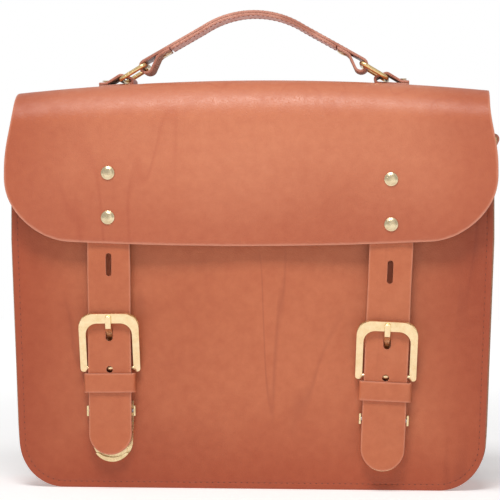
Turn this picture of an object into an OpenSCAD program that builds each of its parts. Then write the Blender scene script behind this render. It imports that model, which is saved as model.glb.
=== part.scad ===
// Leather satchel with a full flap, two buckled straps, a carrying handle and side rings.
// The bag stands on z = 0 with its front towards -Y. Millimetres.

/* [Bag body] */
// Width across the bottom, at the top of the round corners
bottom_w = 356; // [344:1:364]
// Width of the panels from mid height upwards
panel_w = 368; // [364:1:372]
// Depth from the front panel's face to the back panel's face
body_d = 80; // [74:1:96]
// How far the body's middle lies behind the origin, which centres the whole bag
body_mid_y = 7.5; // [6:0.5:9]
// Radius of the two bottom corners
corner_r = 36; // [26:1:44]
// Height of the bag's mouth, at the top of the front panel and the gusset
mouth_z = 268; // [262:1:270]
// Height of the back panel, where the flap begins
back_z = 284; // [282:1:288]
// Thickness of the panels
panel_t = 2.8; // [2:0.1:3.2]
// Thickness of the gusset strip
gusset_t = 2.2; // [1.6:0.1:2.4]
// Width of the turned-out seam flange
flange_w = 8; // [6:0.5:9]

/* [Flap] */
// Height of the flap's top
crown_z = 310; // [308:1:314]
// Width of the flap over the top of the bag
crown_w = 363; // [356:1:366]
// Greatest width of the flap in front
flap_w = 375; // [370:1:380]
// Height of the flap's lower edge
flap_low_z = 185; // [183:1:188]
// Radius of the flap's two lower corners
flap_corner_r = 52; // [40:1:54]
// Thickness of the flap
flap_t = 2.8; // [2.2:0.1:3]
// Radius of the flap's bend at the front
front_bend_r = 30; // [24:1:32]
// Radius of the flap's bend at the back
back_bend_r = 26; // [22:1:28]

/* [Straps] */
// Distance of each strap from the middle
strap_x = 107.5; // [100:0.5:115]
// Width of the straps
strap_w = 33; // [32:0.5:33]
// Thickness of the straps
strap_t = 2.5; // [2:0.1:2.6]
// Height of the left strap's tip
left_tip_z = 26; // [25:0.5:28]
// Height of the right strap's tip
right_tip_z = 15.5; // [15:0.5:18]
// How much lower the right strap's hardware sits than the left strap's
right_drop = 5.5; // [4.5:0.5:6]
// Lean of the left strap towards the middle, degrees
left_lean = 0.6; // [0:0.1:1]
// Lean of the right strap towards the middle, degrees
right_lean = 2.5; // [0:0.1:3]

/* [Buckles] */
// Width of the buckle frames
buckle_w = 46; // [45.5:0.5:48]
// Height from the heel bar's axis to the frame's top
buckle_h = 43; // [42:0.5:45]
// Thickness of the buckle frames
buckle_t = 3.2; // [2.6:0.1:3.2]
// Height of the left buckle's heel bar
heel_z = 92; // [91.5:0.5:92.5]

/* [Handle] */
// Width of the handle's leather
handle_w = 25; // [22:1:25]
// Height of the handle's top
handle_z = 368.5; // [366:0.5:373]
// Radius of the handle's arch
handle_r = 74; // [72:1:76]
// Thickness of the handle's leather
handle_t = 2; // [1.8:0.1:2]
// Radius of the brass wire of the handle's rings
wire_r = 1.75; // [1.5:0.05:1.8]

/* [Hidden] */
$fn = 48;

// Colours
tan = [0.80, 0.48, 0.34];
dark_tan = [0.72, 0.41, 0.28];
brass = [0.90, 0.78, 0.52];
steel = [0.6, 0.6, 0.62];

// Levels in front of the front panel's face are counted outwards from it, as "out"
front_y = body_mid_y - body_d / 2;
back_y = body_mid_y + body_d / 2;
strap_out = 7.5;
flap_out = strap_out + strap_t;
flap_y = front_y - flap_out - flap_t;
gap = 0.3;

// Heights along a strap, on the left side
hinge_z = flap_low_z - 1;
root_top_z = 252;
rivet_z = [240.6, 206.7];
slot_low_z = 162;
slot_high_z = 179.6;
prong_slot = [112.6, 123.4];
keeper_low_z = 73.5;
keeper_high_z = 88;
button_z = 59;
lock_top_z = 66.5;
lock_low_z = 20.2;
tongue_z = [27, 65.5];
tongue_rivet_z = 33;
plate_rivet_z = [38, 49];

// Small hardware
stem_r = 1.2;
plate_t = 1;
tab_t = 1.5;
heel_out = 4.25;
heel_r = 1.5;
heel_fit = 0.05;
button_r = 1.1;
cheek_u = [12.5, 15.5];
head_u = [17.3, 18.7];
button_out = 2.8;

// Handle ring: its two bars lie at these places on the right side
ring_low = [103.5, 315.0];
ring_high = [84.3, 326.6];
ring_half_w = 15;
ring_bend_r = 4;

// Side tab: the ring's bar lies in its fold
side_x = panel_w / 2 - flange_w;
side_bar = [186, 267.5];
side_tab_w = 20;
side_wire_r = 2;
side_rivet_z = [231.5, 241.5];

// ---- outlines ----

function arc(cx, cy, r, a0, a1, n = 16) =
    [for (i = [0:n]) let (a = a0 + (a1 - a0) * i / n) [cx + r * cos(a), cy + r * sin(a)]];

function mirrored(p) = [for (i = [len(p) - 1:-1:0]) [-p[i][0], p[i][1]]];

function both_sides(p) = concat(p, mirrored(p));

function along(p, i) =
    let (d = p[min(i + 1, len(p) - 1)] - p[max(i - 1, 0)]) d / norm(d);

function beside(p, d) = [for (i = [0:len(p) - 1]) p[i] + d * [-along(p, i)[1], along(p, i)[0]]];

function backwards(p) = [for (i = [len(p) - 1:-1:0]) p[i]];

// Outline of a band of leather of thickness t that follows the path p
function band(p, t) = concat(beside(p, t / 2), backwards(beside(p, -t / 2)));

// The bag's outline from the front, moved inwards by inset and open upwards to the height top
function bag_outline(inset, top) = both_sides(concat(
    arc(bottom_w / 2 - corner_r, corner_r, corner_r - inset, -90, 0),
    [[panel_w / 2 - inset, 190], [panel_w / 2 - inset, top]]
));

// ---- placing ----

// Draws an outline in the X-Z plane as a sheet from y0 to y1
module sheet_y(y0, y1) {
    translate([0, (y0 + y1) / 2, 0]) rotate([90, 0, 0]) linear_extrude(height = y1 - y0, center = true) children();
}

// Draws an outline in the Y-Z plane as a bar of width w along X
module bar_x(w) {
    rotate([90, 0, 90]) linear_extrude(height = w, center = true) children();
}

// Draws an outline of (out, z) points as a bar of width w along X
module bar_out(w) {
    bar_x(w) translate([front_y, 0]) mirror([1, 0]) children();
}

// A sheet between two out levels
module sheet_out(low, high) {
    sheet_y(front_y - high, front_y - low) children();
}

// A rod along Y between two out levels
module rod_out(x, z, r, low, high) {
    translate([x, front_y - low, z]) rotate([90, 0, 0]) cylinder(h = high - low, r = r);
}

// A rod along X
module rod_x(x0, x1, y, z, r) {
    translate([x0, y, z]) rotate([0, 90, 0]) cylinder(h = x1 - x0, r = r);
}

// side is -1 for the left and 1 for the right
function lean(side) = side < 0 ? -left_lean : right_lean;
function drop(side) = side < 0 ? 0 : right_drop;
function tip_z(side) = side < 0 ? left_tip_z : right_tip_z;

// Places what belongs to one strap: x is counted from the strap's middle line
module on_strap(side) {
    translate([side * strap_x, 0, hinge_z]) rotate([0, lean(side), 0]) translate([0, 0, -hinge_z]) children();
}

// The same, with heights given for the left side
module on_hardware(side) {
    on_strap(side) translate([0, 0, -drop(side)]) children();
}

// A domed cap that stands on z = 0
module cap(r, h) {
    rotate_extrude() {
        polygon(concat([[0, 0], [r, 0], [r, 0.5]], [for (i = [1:8]) [r * cos(90 * i / 8), 0.5 + (h - 0.5) * sin(90 * i / 8)]]));
    }
}

// ---- body of the bag ----

module back_panel() {
    color(tan) sheet_y(back_y - panel_t, back_y) polygon(bag_outline(0, back_z));
}

module front_panel() {
    color(dark_tan) difference() {
        sheet_out(-panel_t, 0) polygon(bag_outline(0, mouth_z));
        for (side = [-1, 1]) {
            on_hardware(side) plate_rivet_stems(stem_r, -panel_t - 1, 1);
        }
    }
}

module gusset() {
    band_y0 = front_y + panel_t;
    band_y1 = back_y - panel_t;
    color(dark_tan) difference() {
        sheet_y(band_y0, band_y1) polygon(bag_outline(0, mouth_z));
        sheet_y(band_y0 + gusset_t, band_y1 - gusset_t) difference() {
            polygon(bag_outline(-10, mouth_z + 10));
            polygon(bag_outline(flange_w, mouth_z + 20));
        }
        sheet_y(band_y0 - 1, band_y1 + 1) polygon(bag_outline(flange_w + gusset_t, mouth_z + 10));
        for (side = [-1, 1], z = side_rivet_z) {
            rod_x(side * side_x - 6, side * side_x + 6, body_mid_y, z, stem_r);
        }
    }
}

// ---- quick-release locks behind the strap tips ----

module plate_rivet_stems(r, low, high) {
    for (u = [-14, 14], z = plate_rivet_z) {
        rod_out(u, z, r, low, high);
    }
}

// The left plate's outline sits a little to the right of its strap
function plate_shift(side) = side < 0 ? 0.6 : 0;

module lock_plate(side) {
    shield = both_sides(concat(arc(0, lock_low_z + 15.5, 15.5, -90, 0, 12), [[16.3, 50], [16.3, lock_top_z]]));
    color(brass) on_hardware(side) difference() {
        union() {
            sheet_out(0, plate_t) translate([plate_shift(side), 0]) polygon(shield);
            // raised crescent that closes the lower end
            sheet_out(plate_t, 5.2) translate([plate_shift(side), 0]) difference() {
                polygon(both_sides(arc(0, lock_low_z + 15.5, 15.5, -90, -35, 8)));
                translate([0, lock_low_z + 20.5]) circle(r = 17.4);
            }
            for (s = [-1, 1]) {
                sheet_out(plate_t, 4.2) translate([s * (cheek_u[0] + cheek_u[1]) / 2, button_z])
                    square([cheek_u[1] - cheek_u[0], 8], center = true);
            }
        }
        rod_x(-20, 20, front_y - button_out, button_z, button_r + 0.05);
        plate_rivet_stems(stem_r, -1, 3);
    }
}

module lock_backing(side) {
    color(steel) on_hardware(side) difference() {
        sheet_out(-panel_t - 1, -panel_t) translate([0, 43.5]) square([34, 19], center = true);
        plate_rivet_stems(stem_r, -panel_t - 2, 1);
    }
}

module lock_rivets() {
    color(brass) for (side = [-1, 1]) {
        on_hardware(side) {
            plate_rivet_stems(stem_r, -panel_t - 1, plate_t);
            plate_rivet_stems(1.7, plate_t, plate_t + 0.6);
            plate_rivet_stems(1.9, -panel_t - 1.6, -panel_t - 1);
        }
    }
}

// A button slides in its cheek: s is -1 for the one on the left of its lock
module lock_button(side, s) {
    color(brass) on_hardware(side) mirror([s < 0 ? 1 : 0, 0, 0]) {
        rod_x(10.9, head_u[0], front_y - button_out, button_z, button_r);
        sheet_out(1.3, 4.3) translate([(head_u[0] + head_u[1]) / 2, button_z])
            square([head_u[1] - head_u[0], 7.8], center = true);
    }
}

module lock_spring(side, s) {
    color(steel) on_hardware(side) mirror([s < 0 ? 1 : 0, 0, 0]) difference() {
        rod_x(cheek_u[1], head_u[0], front_y - button_out, button_z, 1.6);
        rod_x(cheek_u[1] - 1, head_u[0] + 1, front_y - button_out, button_z, button_r + 0.05);
    }
}

// ---- side tabs and rings ----

side_tab_path = concat(
    [[side_x + 1.05, 227], [side_x + 1.05, 246]],
    arc(side_bar[0], side_bar[1], 3.3, 150, -30, 14),
    [[side_x + 5.4, 250], [side_x + 3.15, 246], [side_x + 3.15, 227]]
);

module side_tab(side) {
    color(tan) mirror([side < 0 ? 1 : 0, 0, 0]) difference() {
        sheet_y(body_mid_y - side_tab_w / 2, body_mid_y + side_tab_w / 2) polygon(band(side_tab_path, 2));
        for (z = side_rivet_z) {
            rod_x(side_x - 1, side_x + 6, body_mid_y, z, stem_r);
        }
    }
}

module side_tab_rivets() {
    color(brass) for (side = [-1, 1], z = side_rivet_z) {
        mirror([side < 0 ? 1 : 0, 0, 0]) {
            rod_x(side_x - gusset_t, side_x + 4.15, body_mid_y, z, stem_r);
            rod_x(side_x - gusset_t - 0.7, side_x - gusset_t, body_mid_y, z, 3);
            translate([side_x + 4.15, body_mid_y, z]) rotate([0, 90, 0]) cap(4, 1.4);
        }
    }
}

// D-shaped ring that hangs from the tab's fold, with its straight bar inside the fold
module side_ring(side) {
    half = 13;
    color(brass) mirror([side < 0 ? 1 : 0, 0, 0]) translate([side_bar[0], body_mid_y, side_bar[1]]) {
        translate([0, -half, 0]) rotate([-90, 0, 0]) cylinder(h = 2 * half, r = side_wire_r);
        for (s = [-1, 1]) {
            translate([0, s * half, 0]) sphere(r = side_wire_r);
            translate([0, s * half, -13]) cylinder(h = 13, r = side_wire_r);
        }
        translate([0, 0, -13]) rotate([0, 90, 0]) rotate([0, 0, -90])
            rotate_extrude(angle = 180) translate([half, 0]) circle(r = side_wire_r);
    }
}

// ---- top of the flap and the handle ----

crown_start = asin((back_z + gap - crown_z + back_bend_r) / (back_bend_r - flap_t / 2));
crown_path = concat(
    arc(back_y - back_bend_r, crown_z - back_bend_r, back_bend_r - flap_t / 2, crown_start, 90),
    arc(flap_y + front_bend_r, crown_z - front_bend_r, front_bend_r - flap_t / 2, 90, 180)
);

module flap_crown() {
    color(tan) difference() {
        bar_x(crown_w) polygon(band(crown_path, flap_t));
        anchor_stems(stem_r, crown_z - flap_t - 1, crown_z + 1);
    }
}

anchor_rivet_x = 116.4;

module anchor_stems(r, z0, z1) {
    for (side = [-1, 1], y = [-6, 6]) {
        translate([side * anchor_rivet_x, body_mid_y + y, z0]) cylinder(h = z1 - z0, r = r);
    }
}

module handle_backing() {
    color(dark_tan) difference() {
        translate([0, body_mid_y, crown_z - flap_t - 0.9]) cube([246, 25, 1.8], center = true);
        anchor_stems(stem_r, crown_z - flap_t - 3, crown_z);
    }
}

// The tab is folded round the ring's lower bar and its two layers lie on the flap
anchor_path = concat(
    [[121, crown_z + 3.25], [113.5, crown_z + 3.25]],
    arc(ring_low[0], ring_low[1], 3.8, 50, 120, 6),
    arc(97.4, crown_z + 3.9, 2.8, 120, 270, 10),
    [[121, crown_z + 1.1]]
);

module handle_anchor(side) {
    color(tan) difference() {
        mirror([side < 0 ? 1 : 0, 0, 0]) sheet_y(body_mid_y - 12, body_mid_y + 12) polygon(band(anchor_path, handle_t));
        anchor_stems(stem_r, crown_z - 1, crown_z + 6);
    }
}

module anchor_rivets() {
    color(brass) {
        anchor_stems(stem_r, crown_z - flap_t - 1.8, crown_z + 4.25);
        anchor_stems(2.6, crown_z + 4.25, crown_z + 4.8);
        anchor_stems(2.6, crown_z - flap_t - 2.5, crown_z - flap_t - 1.8);
    }
}

// A ring of round wire: a rectangle with round corners, drawn from its lower bar
module handle_ring(side) {
    d = ring_low - ring_high;
    l = norm(d);
    tilt = atan2(-d[1], d[0]);
    b = ring_bend_r;
    w = ring_half_w;
    color(brass) mirror([side < 0 ? 1 : 0, 0, 0])
        translate([ring_low[0], body_mid_y, ring_low[1]]) rotate([0, tilt, 0]) translate([-l, 0, 0]) {
            for (x = [0, l]) {
                translate([x, b - w, 0]) rotate([-90, 0, 0]) cylinder(h = 2 * (w - b), r = wire_r);
            }
            for (s = [-1, 1]) {
                translate([b, s * w, 0]) rotate([0, 90, 0]) cylinder(h = l - 2 * b, r = wire_r);
            }
            for (c = [[b, b - w, 180], [l - b, b - w, 270], [l - b, w - b, 0], [b, w - b, 90]]) {
                translate([c[0], c[1], 0]) rotate([0, 0, c[2]])
                    rotate_extrude(angle = 90) translate([b, 0]) circle(r = wire_r);
            }
        }
}

// Right half of the handle's upper leather: arch, leg, fold round the ring and return
arch_end = 33;
leg_angle = 28;
loop_c = [83.5, 325.5];
loop_r = 4.9;
arch_r = handle_r - handle_t / 2;
arch_c = handle_z - handle_t / 2 - arch_r;
return_gap = handle_t + 0.05;
leg_start = [arch_r * sin(arch_end), arch_c + arch_r * cos(arch_end)];
leg_end = loop_c + loop_r * [cos(90 - leg_angle), sin(90 - leg_angle)];

function on_leg(t, d) =
    let (v = (leg_end - leg_start) / norm(leg_end - leg_start)) leg_start + t * (leg_end - leg_start) + d * [v[1], -v[0]];

handle_half = concat(
    arc(0, arch_c, arch_r, 90, 90 - arch_end, 14),
    [leg_end],
    arc(loop_c[0], loop_c[1], loop_r, 50, -140, 20),
    [on_leg(0.76, return_gap), on_leg(0.7, return_gap), on_leg(0.58, return_gap)]
);

// the arch's first point lies on the middle line, so one half leaves it out
handle_path = concat(mirrored([for (i = [1:len(handle_half) - 1]) handle_half[i]]), handle_half);

module handle_bores() {
    for (side = [-1, 1]) {
        handle_rivet_place(side) translate([0, 0, -8]) cylinder(h = 16, r = stem_r);
    }
}

module handle_rivet_place(side) {
    p = on_leg(0.66, 0);
    v = leg_end - leg_start;
    mirror([side < 0 ? 1 : 0, 0, 0]) translate([p[0], body_mid_y, p[1]]) rotate([0, -atan2(v[1], v[0]), 0]) children();
}

module handle_strap() {
    color(dark_tan) difference() {
        sheet_y(body_mid_y - handle_w / 2, body_mid_y + handle_w / 2) polygon(band(handle_path, handle_t));
        handle_bores();
    }
}

// Second layer, stitched under the arch between the two folded-back ends
module handle_lining() {
    under = concat(
        arc(0, arch_c, arch_r - return_gap, 90, 90 - arch_end, 14),
        [on_leg(0.28, return_gap), on_leg(0.56, return_gap)]
    );
    path = concat(mirrored([for (i = [1:len(under) - 1]) under[i]]), under);
    color(tan) sheet_y(body_mid_y - handle_w / 2, body_mid_y + handle_w / 2) polygon(band(path, handle_t));
}

module handle_rivets() {
    color(brass) for (side = [-1, 1]) {
        handle_rivet_place(side) {
            translate([0, 0, -return_gap - handle_t / 2]) cylinder(h = return_gap + handle_t, r = stem_r);
            translate([0, 0, handle_t / 2]) cylinder(h = 0.5, r = 2.6);
            translate([0, 0, -return_gap - handle_t / 2]) rotate([180, 0, 0]) cap(4, 1.5);
        }
    }
}

// ---- front of the flap ----

module flap_front() {
    bend_z = crown_z - front_bend_r - gap;
    outline = both_sides(concat(
        arc(flap_w / 2 - flap_corner_r, flap_low_z + flap_corner_r, flap_corner_r, -90, 0),
        [[flap_w / 2, 240], [crown_w / 2, bend_z]]
    ));
    color(tan) difference() {
        sheet_out(flap_out, flap_out + flap_t) polygon(outline);
        for (side = [-1, 1]) {
            flap_rivet_stems(side, stem_r, flap_out - 1, flap_out + flap_t + 1);
        }
    }
}

module flap_rivet_stems(side, r, low, high) {
    for (z = rivet_z) {
        rod_out(side * strap_x, z - drop(side), r, low, high);
    }
}

// The upper end of each strap is riveted behind the flap
module strap_root(side) {
    color(dark_tan) difference() {
        sheet_out(strap_out, flap_out) translate([side * strap_x, (hinge_z + gap + root_top_z - drop(side)) / 2])
            square([strap_w, root_top_z - drop(side) - hinge_z - gap], center = true);
        flap_rivet_stems(side, stem_r, strap_out - 1, flap_out + 1);
    }
}

module flap_rivets() {
    color(brass) for (side = [-1, 1]) {
        flap_rivet_stems(side, stem_r, strap_out, flap_out + flap_t);
        flap_rivet_stems(side, 4.5, strap_out - 0.6, strap_out);
        for (z = rivet_z) {
            translate([side * strap_x, front_y - flap_out - flap_t, z - drop(side)]) rotate([90, 0, 0]) cap(5.3, 2.3);
        }
    }
}

// ---- hanging straps ----

module strap_slot(z0, z1, r) {
    for (z = [z0 + r, z1 - r]) {
        rod_out(0, z, r, strap_out - 1, flap_out + 1);
    }
    translate([0, front_y - strap_out - strap_t / 2, (z0 + z1) / 2]) cube([2 * r, strap_t + 2, z1 - z0 - 2 * r], center = true);
}

module strap(side) {
    r = strap_w / 2;
    tip = tip_z(side) + r;
    outline = both_sides(concat(arc(0, tip, r, -90, 0), [[r, hinge_z - 1.2]]));
    color(tan) on_strap(side) difference() {
        sheet_out(strap_out, flap_out) polygon(outline);
        translate([0, 0, -drop(side)]) {
            strap_slot(slot_low_z, slot_high_z, 2.25);
            strap_slot(prong_slot[0], prong_slot[1], 2.8);
            rod_out(0, heel_z - 1, 2.6, strap_out - 1, flap_out + 1);
        }
    }
}

// Leather folded round the heel bar; its two leaves come together below and carry the tongue
module buckle_tab(side) {
    fold_r = heel_r + heel_fit + tab_t / 2;
    path = concat(
        [[heel_out + fold_r, 28]],
        arc(heel_out, heel_z, fold_r, 0, 180, 16),
        [[heel_out - fold_r, 73], [heel_out + 0.75, 67.5], [heel_out + 0.75, 28]]
    );
    color(dark_tan) on_hardware(side) difference() {
        bar_out(30) polygon(band(path, tab_t));
        translate([0, front_y - heel_out, heel_z + 5]) cube([6.4, 20, 21], center = true);
        for (u = [-6, 6]) {
            rod_out(u, tongue_rivet_z, stem_r, 3, 9);
            rod_out(u, tongue_rivet_z, 2.6, 6.5, 9);
        }
    }
}

module keeper(side) {
    half_w = strap_w / 2 + 3.1;
    r = 2.2;
    low = 4.2;
    high = flap_out + 1.8;
    function ring(inset) = concat(
        arc(half_w - r, front_y - low - r, r - inset, 90, 0, 6),
        arc(half_w - r, front_y - high + r, r - inset, 0, -90, 6),
        arc(r - half_w, front_y - high + r, r - inset, -90, -180, 6),
        arc(r - half_w, front_y - low - r, r - inset, 180, 90, 6)
    );
    color(dark_tan) on_hardware(side) translate([0, 0, keeper_low_z]) linear_extrude(height = keeper_high_z - keeper_low_z)
        difference() {
            polygon(ring(0));
            polygon(ring(1.5));
        }
}

module lock_tongue(side) {
    color(brass) on_hardware(side) difference() {
        sheet_out(1.3, 2.5) translate([0, (tongue_z[0] + tongue_z[1]) / 2])
            square([23.2, tongue_z[1] - tongue_z[0]], center = true);
        for (s = [-1, 1]) {
            translate([s * 12.5, front_y - 2, button_z + 0.3]) cube([6.4, 4, 8], center = true);
        }
        for (u = [-6, 6]) {
            rod_out(u, tongue_rivet_z, stem_r, 0, 4);
        }
    }
}

module tongue_rivets(side) {
    color(brass) on_hardware(side) for (u = [-6, 6]) {
        rod_out(u, tongue_rivet_z, stem_r, 1.3, 7.3);
        rod_out(u, tongue_rivet_z, 2.4, 2.5, 4.25);
        rod_out(u, tongue_rivet_z, 2.6, 6.5, 7.3);
    }
}

// ---- buckles ----

band_out = flap_out + 2.2 + buckle_t / 2;
buckle_tilt = atan((band_out - heel_out) / (buckle_h - 4));

// Places a flat shape in the buckle's plane: x across the strap, y from the heel bar to the top
module in_buckle() {
    translate([0, front_y - heel_out, heel_z]) rotate([90 + buckle_tilt, 0, 0]) children();
}

module buckle_frame(side) {
    half = buckle_w / 2;
    outer = both_sides(concat(
        arc(half - 3.1, -0.2, 2.4, -180, 0, 10),
        arc(half - 12, buckle_h - 13, 12, 0, 80, 14),
        [[0, buckle_h]]
    ));
    inner = both_sides(concat(
        [[0, -6], [half - 5.2, -6], [half - 5.2, 2]],
        arc(half - 14.3, buckle_h - 17.5, 9.6, 0, 80, 12),
        [[0, buckle_h - 7.4]]
    ));
    color(brass) on_hardware(side) {
        in_buckle() difference() {
            linear_extrude(height = buckle_t, center = true) difference() {
                polygon(outer);
                polygon(inner);
            }
        }
        rod_x(-half + 4, half - 4, front_y - heel_out, heel_z, heel_r);
    }
}

module buckle_prong(side) {
    // the prong's end lies on the frame's top band
    function over_band(y) = let (d = buckle_t / 2 + 1.15)
        [heel_out + y * sin(buckle_tilt) + d * cos(buckle_tilt), heel_z + y * cos(buckle_tilt) - d * sin(buckle_tilt)];
    path = [
        [heel_out, heel_z + 2.2], [heel_out + 0.1, 111], [heel_out + 0.85, 114.5],
        [12.0, 121.4], over_band(34), over_band(41.6)
    ];
    color(brass) on_hardware(side) difference() {
        union() {
            bar_out(4.6) polygon(band(path, 2.2));
            rod_x(-2.5, 2.5, front_y - heel_out, heel_z, 3);
        }
        rod_x(-4, 4, front_y - heel_out, heel_z, heel_r + heel_fit);
    }
}

back_panel();
front_panel();
gusset();
lock_plate(-1);  // lock_plate_left
lock_plate(1);  // lock_plate_right
lock_backing(-1);  // lock_backing_left
lock_backing(1);  // lock_backing_right
lock_rivets();
lock_button(-1, -1);  // lock_button_left_a
lock_button(-1, 1);  // lock_button_left_b
lock_button(1, -1);  // lock_button_right_a
lock_button(1, 1);  // lock_button_right_b
lock_spring(-1, -1);  // lock_spring_left_a
lock_spring(-1, 1);  // lock_spring_left_b
lock_spring(1, -1);  // lock_spring_right_a
lock_spring(1, 1);  // lock_spring_right_b
side_tab(-1);  // side_tab_left
side_tab(1);  // side_tab_right
side_tab_rivets();
side_ring(-1);  // side_ring_left
side_ring(1);  // side_ring_right
flap_crown();
handle_backing();
handle_anchor(-1);  // handle_anchor_left
handle_anchor(1);  // handle_anchor_right
anchor_rivets();
handle_ring(-1);  // handle_ring_left
handle_ring(1);  // handle_ring_right
handle_strap();
handle_lining();
handle_rivets();
flap_front();
strap_root(-1);  // strap_root_left
strap_root(1);  // strap_root_right
flap_rivets();
strap(-1);  // strap_left
strap(1);  // strap_right
buckle_tab(-1);  // buckle_tab_left
buckle_tab(1);  // buckle_tab_right
keeper(-1);  // keeper_left
keeper(1);  // keeper_right
lock_tongue(-1);  // lock_tongue_left
lock_tongue(1);  // lock_tongue_right
tongue_rivets(-1);  // tongue_rivets_left
tongue_rivets(1);  // tongue_rivets_right
buckle_frame(-1);  // buckle_frame_left
buckle_frame(1);  // buckle_frame_right
buckle_prong(-1);  // buckle_prong_left
buckle_prong(1);  // buckle_prong_right
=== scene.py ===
# %% [markdown]
# # A leather satchel
# This lesson makes the leather, the thread and the brass of a satchel round a model that was already drawn
# to size. That drawing is the frame: it says where every piece goes and which pieces move together. Here we
# give the pieces the soft shapes, the rounded edges and the finishes of the real bag.

# %% Load the frame
import math

import bmesh
import bpy
import numpy as np
from mathutils import Matrix, Vector


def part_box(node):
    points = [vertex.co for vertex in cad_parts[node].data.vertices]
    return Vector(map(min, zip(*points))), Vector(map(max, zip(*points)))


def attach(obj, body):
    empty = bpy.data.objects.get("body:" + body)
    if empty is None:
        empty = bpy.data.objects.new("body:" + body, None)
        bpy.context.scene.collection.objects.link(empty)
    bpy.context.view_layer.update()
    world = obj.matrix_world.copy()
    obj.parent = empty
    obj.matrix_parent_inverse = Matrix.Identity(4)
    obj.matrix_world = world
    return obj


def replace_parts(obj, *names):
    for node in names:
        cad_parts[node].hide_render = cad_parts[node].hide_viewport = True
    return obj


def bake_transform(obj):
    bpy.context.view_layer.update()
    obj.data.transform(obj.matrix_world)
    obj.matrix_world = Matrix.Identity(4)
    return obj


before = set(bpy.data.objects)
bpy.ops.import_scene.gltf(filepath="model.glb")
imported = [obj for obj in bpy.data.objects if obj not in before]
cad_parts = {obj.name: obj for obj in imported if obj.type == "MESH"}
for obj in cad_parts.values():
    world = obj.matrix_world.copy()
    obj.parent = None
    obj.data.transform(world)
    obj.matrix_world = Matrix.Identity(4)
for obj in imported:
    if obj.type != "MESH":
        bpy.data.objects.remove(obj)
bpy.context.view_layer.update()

# %% [markdown]
# ## The sizes that drive everything
# A maker would start from a few patterns: the panels, the flap and the straps. Their sizes are read from
# the drawn nodes, so this lesson still fits if the drawing changes. Only a few shapes that the soft leather
# adds are set here.

# %% Sizes
panel_low, panel_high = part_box("front_panel")
back_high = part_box("back_panel")[1]
crown_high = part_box("flap_crown")[1]
flap_low, flap_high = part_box("flap_front")
gusset_low, gusset_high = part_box("gusset")

FRONT = panel_low.y                      # outer face of the front panel
PANEL_T = panel_high.y - panel_low.y
PANEL_HALF = panel_high.x
MOUTH = panel_high.z
BACK = back_high.y
FLAP_T = flap_high.y - flap_low.y
FLAP_FACE = flap_low.y                   # outer face of the flap
CROWN = crown_high.z
FRONT_BEND = 0.030
BACK_BEND = 0.026
HANDLE_Y = 0.0075                        # middle of the bag's depth, under the handle
BOTTOM_HALF = 0.178
CORNER = 0.036
FLAP_CORNER = 0.054
STRAP_X = 0.1075
HINGE = flap_low.z - 0.001               # where the straps leave the flap
SIDES = {"left": -1, "right": 1}
LEAN = {"left": math.radians(-0.6), "right": math.radians(2.5)}
DROP = {"left": 0.0, "right": 0.0055}
print("front panel", round(2 * PANEL_HALF, 4), "x", round(MOUTH, 4), "and", round(PANEL_T, 4), "thick")

# %% [markdown]
# ## Tools for the bench
# Blender's operators act on whatever is selected, so every step first lets go of everything and picks one
# piece.

# %% Picking a piece
def pick(piece):
    """Only this piece is selected and active."""
    if bpy.context.object and bpy.context.object.mode != "OBJECT":
        bpy.ops.object.mode_set(mode="OBJECT")
    bpy.ops.object.select_all(action="DESELECT")
    piece.select_set(True)
    bpy.context.view_layer.objects.active = piece
    return piece


def open_up(piece):
    """Edit mode, with nothing selected."""
    pick(piece)
    bpy.ops.object.mode_set(mode="EDIT")
    bpy.ops.mesh.select_mode(type="VERT")
    bpy.ops.mesh.select_all(action="DESELECT")
    return bmesh.from_edit_mesh(piece.data)


def close_up(piece):
    bpy.ops.object.mode_set(mode="OBJECT")
    return piece


def named(name):
    """The primitive that was just added gets its name."""
    piece = bpy.context.object
    piece.name = piece.data.name = name
    return pick(piece)


def select_where(mesh, kind, test):
    """Selects the vertices, edges or faces that pass the test, and nothing else."""
    bpy.ops.mesh.select_mode(type={"verts": "VERT", "edges": "EDGE", "faces": "FACE"}[kind])
    bpy.ops.mesh.select_all(action="DESELECT")
    found = [e for e in getattr(mesh, kind) if test(e)]
    for e in found:
        e.select_set(True)
    mesh.select_flush_mode()
    return len(found)


print("tools ready")

# %% [markdown]
# ## Cutting and laying leather
# All the leather on the bag is strip or sheet: it has one width and is laid along a path. By hand we would
# draw one edge and pull it along that path, a row at a time, which is what `lay_strip` does with the
# extrude operator. Soft shaping comes after, by moving the rows, as hands do with damp leather. At the end
# the sheet gets its thickness from Solidify, with a smooth grain side, a rough flesh side and a cut edge,
# and the cut edges are bevelled by hand, as an edge tool rounds them.

# %% Laying a strip
AXES = {"X": (0, 1, 2), "Y": (1, 0, 2), "Z": (2, 0, 1)}


def lay_strip(name, path, width, columns, across="X", middle=0.0):
    """Pulls an edge of that width, cut into columns, along the path's points."""
    w, a, b = AXES[across]
    bpy.ops.object.select_all(action="DESELECT")
    bpy.ops.mesh.primitive_plane_add(size=width)
    piece = named(name)
    mesh = open_up(piece)
    far = [v for v in mesh.verts if v.co.y > 0]
    bmesh.ops.delete(mesh, geom=far, context="VERTS")
    for v in mesh.verts:
        across_at = v.co.x
        v.co = Vector((0, 0, 0))
        v.co[w], v.co[a], v.co[b] = middle + across_at, path[0][0], path[0][1]
    bpy.ops.mesh.select_all(action="SELECT")
    bpy.ops.mesh.subdivide(number_cuts=columns - 1)
    for here, there in zip(path, path[1:]):
        step = [0.0, 0.0, 0.0]
        step[a], step[b] = there[0] - here[0], there[1] - here[1]
        bpy.ops.mesh.extrude_region_move(TRANSFORM_OT_translate={"value": step})
    return close_up(piece)


def shape(piece, move):
    """Moves each point of a soft piece to where move(x, y, z) says."""
    for v in piece.data.vertices:
        v.co = move(*v.co)
    piece.data.update()
    return piece


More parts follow.
